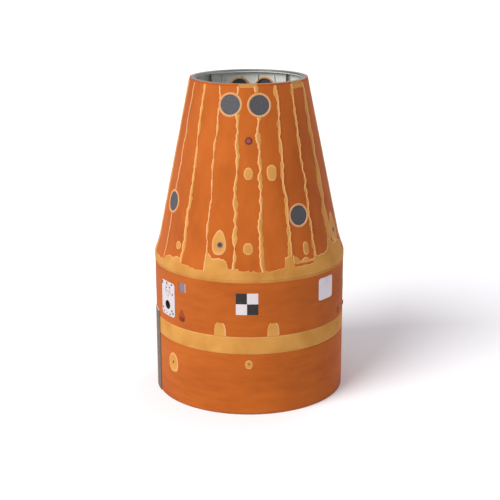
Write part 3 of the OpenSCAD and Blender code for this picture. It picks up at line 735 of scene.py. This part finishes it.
def sawn(azimuth, seed, depth):
    # the small bites and steps that a hand saw leaves along a foam edge
    a = math.radians(azimuth)
    coarse = noise.noise(Vector((math.cos(a) * 22, math.sin(a) * 22, seed)))
    fine = noise.noise(Vector((math.cos(a) * 70, math.sin(a) * 70, seed + 5)))
    return depth * (coarse + 0.6 * round(fine * 3) / 3)


def unitRing(rows, innerRows, steps):
    # a closed ring whose points only say which row they belong to; the makers below put them in place
    last = rows - 1
    outline = [(2.0, float(i)) for i in range(rows)]
    outline += [(1.0, float(last - i * last / (innerRows - 1))) for i in range(innerRows)]
    return spinOutline(outline, steps)


def makeJointBand(look):
    rows = len(jointFace) + look["risingRows"]
    bm = unitRing(rows, 4, look["steps"])
    rim = bm.verts.layers.float.new("rim")
    lowest, (lastHeight, lastProud) = jointFace[0][0], jointFace[-1]
    for vert in bm.verts:
        azimuth, row = azimuthOf(vert.co), vert.co.z
        top = lineValue(jointTop, azimuth) + sawn(azimuth, 1.0, look["sawDepth"])
        if math.hypot(vert.co.x, vert.co.y) < 1.5:  # the bonded side
            height = lowest + (top - lowest) * row / (rows - 1)
            outer = min(foamSurface(jointZ + height), foamRadius)
            vert.co = onRing(azimuth, jointZ + height, outer - look["bond"])
            vert[rim] = 1.0
            continue
        if row < len(jointFace) - 0.5:
            height, proud = jointFace[int(round(row))]
            if any(abs(azimuth - splice) < look["spliceHalf"] for splice in look["splices"]):
                proud -= look["spliceDepth"]
            r = foamRadius + proud + 0.0015 * wander(azimuth, int(round(row)), 2.0)
            vert[rim] = 0.35 if height in (0.134, 0.142) else 0.0  # the step over the foot is a cut edge, with part of the painted highlight
        else:
            step = (row - len(jointFace) + 1) / look["risingRows"]
            height = lastHeight + (top - lastHeight) * (1 - (1 - step) ** 1.5)
            z = jointZ + height
            lift = look["overlay"] * (1 - max(0.0, (step - look["curlFrom"]) / (1 - look["curlFrom"])) ** 2)
            r = foamSurface(z) + lift + 0.003 * wander(azimuth * 0.6 + height * 3, 17)
            if height - lastHeight < look["fadeIn"]:
                join = foamRadius + lastProud
                r = join + (r - join) * (height - lastHeight) / look["fadeIn"]
            # painted highlight along the band's upper edge
            vert[rim] = 0.0 if step < look["paleFrom"] else 0.75
            if row > rows - 1.5:
                r -= look["lipDrop"]
        vert.co = onRing(azimuth, jointZ + height, r)
    piece = finishMesh(bm, "jointBand", recalc=True)
    finishPiece(piece, "trimmedCloseoutFoam", "closeout_foam", "joint_closeout")
    piece.data.materials.append(bpy.data.materials["bandFootFoam"])
    for polygon in piece.data.polygons:
        if polygon.center.z < jointZ + look["footTop"]:
            polygon.material_index = 1


lowBand = dict(steps=720, rows=12, low=2.766, high=3.589, proud=0.006, waver=0.006, bond=0.046)


def makeLowBand(look):
    rows = look["rows"]
    bm = unitRing(rows, 3, look["steps"])
    rim = bm.verts.layers.float.new("rim")
    for vert in bm.verts:
        azimuth = azimuthOf(vert.co)
        low = look["low"] + look["waver"] * wander(azimuth, 41, 3.0)
        high = look["high"] + look["waver"] * wander(azimuth, 42, 3.0)
        z = low + (high - low) * vert.co.z / (rows - 1)
        if math.hypot(vert.co.x, vert.co.y) < 1.5:
            vert.co = onRing(azimuth, z, foamRadius - look["bond"])
            continue
        edge = min(z - low, high - z)
        proud = curveValue([(0.0, -0.010), (0.02, look["proud"] * 0.8), (0.05, look["proud"])], edge)
        # painted highlight along the band's cut edges
        vert[rim] = 0.5 if edge < 0.02 else 0.0
        vert.co = onRing(azimuth, z, foamRadius + proud + 0.0012 * wander(azimuth * 0.5 + z * 4, 43))
    finishShape(bm, "lowBand", "trimmedCloseoutFoam", "closeout_foam", "lower_closeout")


# half outline of a pad of unit radius: radius, height, share of painted highlight
padOutline = [(0.0, 1.0, 0.0), (0.35, 1.0, 0.0), (0.62, 1.0, 0.0), (0.74, 0.98, 0.1), (0.84, 0.92, 0.35),
              (0.92, 0.75, 0.55), (0.975, 0.40, 0.65), (1.0, -0.10, 0.65), (0.97, -0.6, 0.65), (0.0, -0.6, 0.65)]
# azimuth, height, width, tall, power of the outline (2 is an oval), how much narrower at the top, lift
pads = [(-0.4, 10.45, 0.41, 0.51, 2.2, 0.10, 0.016), (16.6, 10.46, 0.42, 0.67, 2.6, -0.08, 0.016),
        (-18.9, 7.60, 0.82, 1.06, 2.1, 0.46, 0.018), (-49.6, 7.18, 0.32, 0.36, 2.2, 0.0, 0.014),
        (-0.7, 7.38, 0.44, 0.51, 2.4, 0.15, 0.016), (37.1, 7.20, 0.31, 0.57, 3.0, 0.10, 0.014),
        (70.0, 7.65, 1.00, 1.30, 2.2, 0.45, 0.018), (121, 7.40, 0.42, 0.56, 2.2, 0.1, 0.016),
        (160, 10.45, 0.42, 0.60, 2.4, 0.0, 0.016), (186, 7.50, 0.62, 0.95, 2.1, 0.4, 0.018),
        (212, 10.30, 0.40, 0.52, 2.3, 0.1, 0.016), (243, 7.30, 0.38, 0.52, 2.4, 0.0, 0.014)]
tankPads = [(-52.3, 1.80, 0.73, 0.88, 2.2, 0.1, 0.014), (-0.4, 2.32, 0.32, 0.40, 2.2, 0.0, 0.012),
            (118, 1.90, 0.60, 0.76, 2.2, 0.1, 0.014), (196, 2.25, 0.34, 0.42, 2.2, 0.0, 0.012)]


def makePads(name, rows, slotName="closeout_foam", replaced=(), finish="trimmedCloseoutFoam", outline=padOutline,
             steps=72, rough=0.07):
    bm, rim = newFoam()
    for number, (azimuth, z, wide, tall, power, taper, lift) in enumerate(rows):
        tilt = coneTilt if z > jointZ else 0.0
        for vert in spinRound(bm, outline, steps, closed=False, rim=rim):
            x, y, h = vert.co
            reach = math.hypot(x, y)
            if reach > 1e-6:
                c, s = abs(x / reach), abs(y / reach)
                swell = (c ** power + s ** power) ** (-1 / power)
                swell *= 1 + rough * noise.noise(Vector((x / reach * 1.6, y / reach * 1.6, number * 3.1)))
                x, y = x * swell, y * swell
            x *= 1 - taper * (0.5 + 0.5 * y)
            vert.co = onFoam(azimuth, z + y * tall / 2 * math.cos(tilt), x * wide / 2, h * lift)
    finishShape(bm, name, finish, slotName, *replaced)


makeSeams(seamLook)
print("seam ridges")
makeJointBand(jointBand)
makeLowBand(lowBand)
makePads("coneFoamPads", pads, replaced=["adapter_foam_plugs"])
makePads("tankFoamPads", tankPads, replaced=["tank_foam_plugs"])
print("bands and pads")

# potted sensors: azimuth, height, size and lift of each round piece
sensors = {
    ("redSensors", "redSensorPotting", 48): [(-0.2, 11.78, 0.32, 0.32, 0.012), (171, 11.7, 0.32, 0.32, 0.012)],
    ("redSensorFaces", "redSensorFace", 40): [(-0.2, 11.78, 0.18, 0.18, 0.014), (171, 11.7, 0.18, 0.18, 0.014)],
    ("sensorRings", "paleSensorPotting", 48): [(-18.2, 7.50, 0.31, 0.31, 0.023), (69.7, 7.53, 0.30, 0.30, 0.023),
                                               (186, 7.42, 0.30, 0.30, 0.023)],
    ("darkSensors", "darkSensorPotting", 48): [(-18.2, 7.50, 0.21, 0.21, 0.026), (69.7, 7.53, 0.17, 0.20, 0.026),
                                               (-52.3, 1.82, 0.10, 0.14, 0.022), (-0.4, 2.34, 0.07, 0.07, 0.018),
                                               (186, 7.42, 0.18, 0.18, 0.026)]}
sensorOutline = [(0.0, 0.80, 0.0), (0.42, 0.80, 0.0), (0.50, 0.98, 0.6), (0.80, 1.0, 1.0), (0.93, 0.85, 1.0),
                 (1.0, 0.2, 1.0), (1.0, -0.5, 1.0), (0.0, -0.5, 1.0)]
for (name, finish, steps), rows in sensors.items():
    makePads(name, [(azimuth, z, wide, tall, 2.0, 0.0, lift) for azimuth, z, wide, tall, lift in rows],
             finish=finish, outline=sensorOutline, steps=steps, rough=0.0)


def addBlock(bm, rim, columns, rows, placeOf, lift, soft, rimShare, sink=0.012):
    # a low block of foam: a grid closed by one extrusion; placeOf turns u and v from 0 to 1 into
    # azimuth, height, move across and the distance from the block's edge
    made = bmesh.ops.create_grid(bm, x_segments=columns, y_segments=rows, size=1)
    faces = list({f for v in made["verts"] for f in v.link_faces})
    raised = bmesh.ops.extrude_face_region(bm, geom=faces)
    tops = {g for g in raised["geom"] if isinstance(g, bmesh.types.BMVert)}
    for vert in set(made["verts"]) | tops:
        azimuth, z, across, edge = placeOf((vert.co.x + 1) / 2, (vert.co.y + 1) / 2)
        if vert in tops:
            # painted highlight on the block's sides and near its top's edges
            vert[rim] = rimShare if edge < soft else 0.0
            vert.co = onFoam(azimuth, z, across, lift * curveValue([(0.0, 0.15), (soft, 1.0)], edge))
        else:
            vert[rim] = rimShare
            vert.co = onFoam(azimuth, z, across, -sink)


def edgeDistance(u, v, wide, tall):
    return min(u * wide, (1 - u) * wide, v * tall, (1 - v) * tall)


bandTabs = dict(places=[-17.2, 13.85, 96, 152, 208, 264], width=0.54, low=3.55, top=4.155, lift=0.015,
                soft=0.035)


def makeBandTabs(look):
    bm, rim = newFoam()
    for number, azimuth in enumerate(look["places"]):
        def placeOf(u, v):
            z = look["low"] + (look["top"] - look["low"]) * v
            wide = look["width"] * curveValue([(0.0, 1.0), (0.50, 0.98), (0.80, 0.84), (1.0, 0.58)], v)
            wide += 0.018 * wander(v * 3, number + 201)
            edge = edgeDistance(u, v, look["width"], 0.6)
            return azimuth, z + 0.012 * wander(u * 4, number + 221) * v, (u - 0.5) * wide, edge
        addBlock(bm, rim, 18, 20, placeOf, look["lift"], look["soft"], 0.0)
    for vert in bm.verts:  # the right edge gets a painted highlight, paler where light catches it
        for place in look["places"]:
            across = math.radians((azimuthOf(vert.co) - place + 180) % 360 - 180) * foamRadius
            if look["low"] + 0.05 < vert.co.z and 0.13 < across < 0.30:
                reach = look["width"] / 2 * curveValue([(3.90, 1.0), (4.05, 0.84), (4.155, 0.58)], vert.co.z)
                vert[rim] = max(vert[rim], min(1.0, max(0.0, (across - reach + 0.075) / 0.03)))
    finishShape(bm, "bandTabs", "trimmedCloseoutFoam", "closeout_foam")


# poured blocks above the joint band: azimuth from, to, lower edge over the joint, then points of the upper edge
gapBlocks = [(26.9, 43.6, 0.675, [(26.9, 1.07), (28.4, 0.98), (29.7, 0.94), (30.9, 0.86), (32.5, 0.76),
                                  (34.1, 0.86), (35.6, 0.90), (38.0, 0.87), (38.8, 0.78), (41.3, 0.74),
                                  (43.6, 0.92)]),
             (-142.0, -128.0, 0.64, [(-142, 0.84), (-138, 0.92), (-133, 0.80), (-128, 0.90)])]


def makeGapBlocks():
    bm, rim = newFoam()
    for start, end, low, topLine in gapBlocks:
        def placeOf(u, v):
            azimuth = start + (end - start) * u
            top = lineValue(topLine, azimuth) + sawn(azimuth, 9.0, 0.034)
            wide = math.radians(end - start) * foamRadius
            return azimuth, jointZ + low + (top - low) * v, 0.0, edgeDistance(u, v, wide, top - low)
        addBlock(bm, rim, 110, 10, placeOf, 0.020, 0.03, 0.7)
    finishShape(bm, "gapBlocks", "trimmedCloseoutFoam", "closeout_foam")


# foam patches at the forward edge: azimuth from, to, lower edge
topPatches = [(-9.2, 8.2, 13.92), (43.6, 60.6, 13.79), (101, 120, 13.90), (166, 176, 13.84),
              (204, 223, 13.90)]


def makeTopPatches():
    below, rimBelow = newFoam()
    above, rimAbove = newFoam()
    for start, end, low in topPatches:
        wide = math.radians(end - start) * topRadius

        def placeBelow(u, v):
            azimuth = start + (end - start) * u
            foot = low + sawn(azimuth, 12.0, 0.030)
            inward = 0.5 + v / 2 if v > 0.5 else v
            return azimuth, foot + (coneTopZ - 0.003 - foot) * v, 0.0, edgeDistance(u, inward, wide, 0.3)

        def placeAbove(u, v):
            z = coneTopZ + 0.005 + (topZ - 0.012 - coneTopZ) * v
            return start + (end - start) * u, z, 0.0, u * (1 - u) * wide

        addBlock(below, rimBelow, 60, 6, placeBelow, 0.010, 0.02, 0.3)
        addBlock(above, rimAbove, 60, 3, placeAbove, 0.009, 0.02, 0.3, 0.008)
    finishShape(below, "topPatches", "trimmedCloseoutFoam", "closeout_foam")
    finishShape(above, "separationPatches", "trimmedCloseoutFoam", "closeout_foam", body="separation_ring")


makeBandTabs(bandTabs)
makeGapBlocks()
makeTopPatches()
print("tabs, blocks and patches")


def addSlab(bm, azimuth, z, wide, tall, corner, low, high, bevelWidth):
    # a rounded plate with eased edges, bent round the stage between two radii
    made = bmesh.ops.create_cube(bm, size=1.0)
    bmesh.ops.scale(bm, vec=(wide, tall, high - low), verts=made["verts"])
    upright = list({e for v in made["verts"] for e in v.link_edges
                    if abs(e.verts[0].co.z - e.verts[1].co.z) > (high - low) / 2})
    bmesh.ops.bevel(bm, geom=upright, offset=corner, segments=8, affect="EDGES", profile=0.5, material=-1)
    top = (high - low) / 2
    outline = [e for e in bm.edges if all(abs(v.co.z - top) < 1e-6 for v in e.verts)]
    bmesh.ops.bevel(bm, geom=outline, offset=bevelWidth, segments=3, affect="EDGES", profile=0.5, material=-1)
    cuts = 10
    for i in range(1, cuts):
        everything = bm.verts[:] + bm.edges[:] + bm.faces[:]
        bmesh.ops.bisect_plane(bm, geom=everything, plane_co=(wide * (i / cuts - 0.5), 0, 0),
                               plane_no=(1, 0, 0))
    radius = (low + high) / 2
    for vert in bm.verts:
        vert.co = onRing(azimuth + math.degrees(vert.co.x / high), z + vert.co.y, radius + vert.co.z)


def makeSlab(name, azimuth, z, wide, tall, corner, low, high, bevelWidth=0.006):
    bm = bmesh.new()
    addSlab(bm, azimuth, z, wide, tall, corner, low, high, bevelWidth)
    piece = finishMesh(bm, name, recalc=True)
    piece.data.set_sharp_from_angle(angle=math.radians(35))
    return piece


# painted light: the hatch takes the lighter of the two whites, as it sits on the shaded side
hatchPanel = makeSlab("hatchPanel", hatchPlace["azimuth"], hatchPlace["z"], 1.0, 1.0, 0.12, metalRadius + 0.006,
                      foamRadius + 0.002, 0.008)
finishPiece(hatchPanel, "hatchEnamelPaintedLight", "white_enamel", "access_hatch", body="hatch")

umbilical = dict(azimuth=-57.1, z=4.685, size=(1.10, 1.56), corner=0.15, proud=0.018, sealZ=5.055, sealWide=0.35,
                 sealTall=0.55, sealThick=0.019, sealLift=0.020)


def makeUmbilicalPlate(look):
    plate = makeSlab("umbilicalPanel", look["azimuth"], look["z"], *look["size"], look["corner"],
                     foamRadius + 0.001, foamRadius + look["proud"])
    cutWith(plate, portCutter("portHole", 0.5))
    # painted shade: the plate takes the greyer white, as it sits on the lit side
    finishPiece(plate, "plateEnamelPaintedShade", "white_enamel", "umbilical_plate")
    # oval seal round the couplings, drawn to a point at its foot
    bm = bmesh.new()
    wide, tall, thick = look["sealWide"], look["sealTall"], look["sealThick"]
    ring = [(wide / 2 + thick * math.cos(a), thick * math.sin(a)) for a in [i * math.pi / 4 for i in range(8)]]
    for vert in spinRound(bm, ring, 56):
        x, y = vert.co.x, vert.co.y * tall / wide
        x *= 1 - 0.55 * max(0.0, -y / (tall / 2)) ** 1.5
        vert.co = onFoam(look["azimuth"], look["sealZ"] + y, x, look["sealLift"] + vert.co.z * 0.6)
    finishShape(bm, "couplingSeal", "greyMouldedSeal", "seal_rubber")


def addStud(bm, azimuth, z, radius, low, high, steps=20):
    # a turned stud with a softened rim, standing out of the wall
    tall = high - low
    outline = [(0.0, high), (radius * 0.70, high), (radius * 0.92, high - 0.10 * tall),
               (radius, high - 0.3 * tall), (radius, low), (0.0, low)]
    for vert in spinRound(bm, outline, steps, closed=False):
        vert.co = onFoam(azimuth, z + vert.co.y, vert.co.x, vert.co.z)


# turned shells on the plate's connectors: turn from its middle, height, radius
plateStuds = [(-6.1, 5.385, 0.022), (-6.1, 5.305, 0.022), (-0.5, 5.395, 0.024), (2.8, 5.235, 0.018),
              (4.7, 5.385, 0.028), (5.5, 4.955, 0.020), (4.6, 4.180, 0.022), (5.7, 4.095, 0.022),
              (5.7, 4.050, 0.016), (2.6, 4.0, 0.018), (-4.3, 4.035, 0.018), (-5.7, 4.19, 0.016),
              (-0.8, 5.18, 0.020)]


def makePlateStuds(look):
    bm = bmesh.new()
    for turn, z, radius in plateStuds:
        addStud(bm, look["azimuth"] + turn, z, radius, 0.016, 0.050)
    piece = finishMesh(bm, "plateStuds", recalc=True)
    piece.data.set_sharp_from_angle(angle=math.radians(40))
    finishPiece(piece, "darkFittingPaint", "connector_shell")


makeUmbilicalPlate(umbilical)
makePlateStuds(umbilical)

# foam-covered knob: a ramp that swells downwards and ends in an open foot, where a dark pad paints its shadow
knob = dict(azimuth=-43.7, top=4.42, foot=3.85, width=0.44, lift=0.036)


def makeKnob(look):
    bm, rim = newFoam()
    tall = look["top"] - look["foot"]

    def placeOf(u, v):
        wide = look["width"] * curveValue([(0.0, 0.22), (0.22, 0.95), (0.45, 0.90), (1.0, 0.16)], v)
        edge = edgeDistance(u, v, look["width"], tall)
        return look["azimuth"], look["foot"] + tall * v, (u - 0.5) * wide, edge

    addBlock(bm, rim, 24, 28, placeOf, look["lift"], 0.10, 0.0)
    finishShape(bm, "knobCover", "brownRampFoam", "fairing_foam")


makeKnob(knob)

# painted shadow at the knob's open foot: azimuth, height, width, tall, power, taper, lift
knobFootShadows = [(-43.4, 4.01, 0.36, 0.24, 2.6, 0.20, 0.056)]
footOutline = [(0.0, 1.0, 0.0), (0.45, 0.97, 0.0), (0.75, 0.80, 0.0), (0.92, 0.45, 0.0), (1.0, -0.1, 0.0),
               (0.0, -0.4, 0.0)]
makePads("knobFootShadow", knobFootShadows, "fairing_foam", (), "knobFootPaintedShadow", footOutline, 40, 0.12)
# painted highlight: a pale strip along the pocket's right edge stands in for light on its far wall
pocketWallHighlight = makeSlab("pocketWallHighlight", pocketPlace["azimuth"] + 2.62, pocketPlace["z"] - 0.01, 0.026, 0.40, 0.008,
                     foamRadius - 0.030, foamRadius + 0.006, 0.003)
finishPiece(pocketWallHighlight, "pocketWallPaintedHighlight", "white_enamel")

# cover straps and screws of the cable tray, set out from its foot
trayLook = dict(azimuth=-76.0, wide=0.84, strapTall=0.045, strapHalf=0.004, first=0.33, step=0.60, straps=6,
                cover=0.0385, screwPitch=0.15, screwRows=24, screwEdge=0.40, screwRadius=0.011)


def makeTrayDetails(look):
    whole = bmesh.new()
    cover, half = look["cover"], look["strapHalf"]
    for number in range(look["straps"]):
        bm = bmesh.new()
        addSlab(bm, look["azimuth"], look["first"] + number * look["step"], look["wide"], look["strapTall"],
                0.006, foamRadius + cover - half, foamRadius + cover + half, 0.0015)
        addTo(whole, bm)
    finishShape(whole, "trayStraps", "scuffedStrapPrimer", "tray_paint")
    bm = bmesh.new()
    for side in (-1, 1):
        turn = math.degrees(side * look["screwEdge"] / foamRadius)
        for row in range(look["screwRows"]):
            z = look["first"] - look["step"] / 4 + row * look["screwPitch"]
            addStud(bm, look["azimuth"] + turn, z, look["screwRadius"], cover - 0.004, cover + 0.005, 10)
    finishShape(bm, "trayScrews", "passivatedSteel", "steel_fastener")


makeTrayDetails(trayLook)

# fittings at the right side: name, azimuth, height, width, tall, corner, lift, eased edge
sideFittings = [("sideFitting1", 68.0, 3.87, 0.15, 0.24, 0.03, 0.036, 0.012),
                ("sideFitting2", 82.0, 3.90, 0.42, 0.11, 0.035, 0.036, 0.012),
                ("sideFitting3", 128.0, 4.30, 0.16, 0.16, 0.05, 0.036, 0.012),
                ("sideFittingCap", 69.0, 4.055, 0.15, 0.11, 0.03, 0.030, 0.010)]


def makeSideFittings():
    for name, azimuth, z, wide, tall, corner, lift, eased in sideFittings:
        piece = makeSlab(name, azimuth, z, wide, tall, corner, foamRadius - 0.004, foamRadius + lift, eased)
        finishPiece(piece, "agedPinkPrimer" if name == "sideFittingCap" else "brownFoamCap", "fairing_foam")
    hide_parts("skirt_fairings")


makeSideFittings()
print("skirt equipment")


def makeValveSpring():
    bm = bmesh.new()
    bm.from_mesh(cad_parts["relief_spring"].data)
    bmesh.ops.remove_doubles(bm, verts=bm.verts[:], dist=mergeReach)
    spring = finishMesh(bm, "valveSpring")
    finishPiece(spring, "passivatedSteel", "steel_fastener", "relief_spring")
    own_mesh(spring)


makeValveSpring()
print("valve spring")

bpy.context.view_layer.update()
print("cad box", [round(v, 3) for corner in cadBox for v in corner])
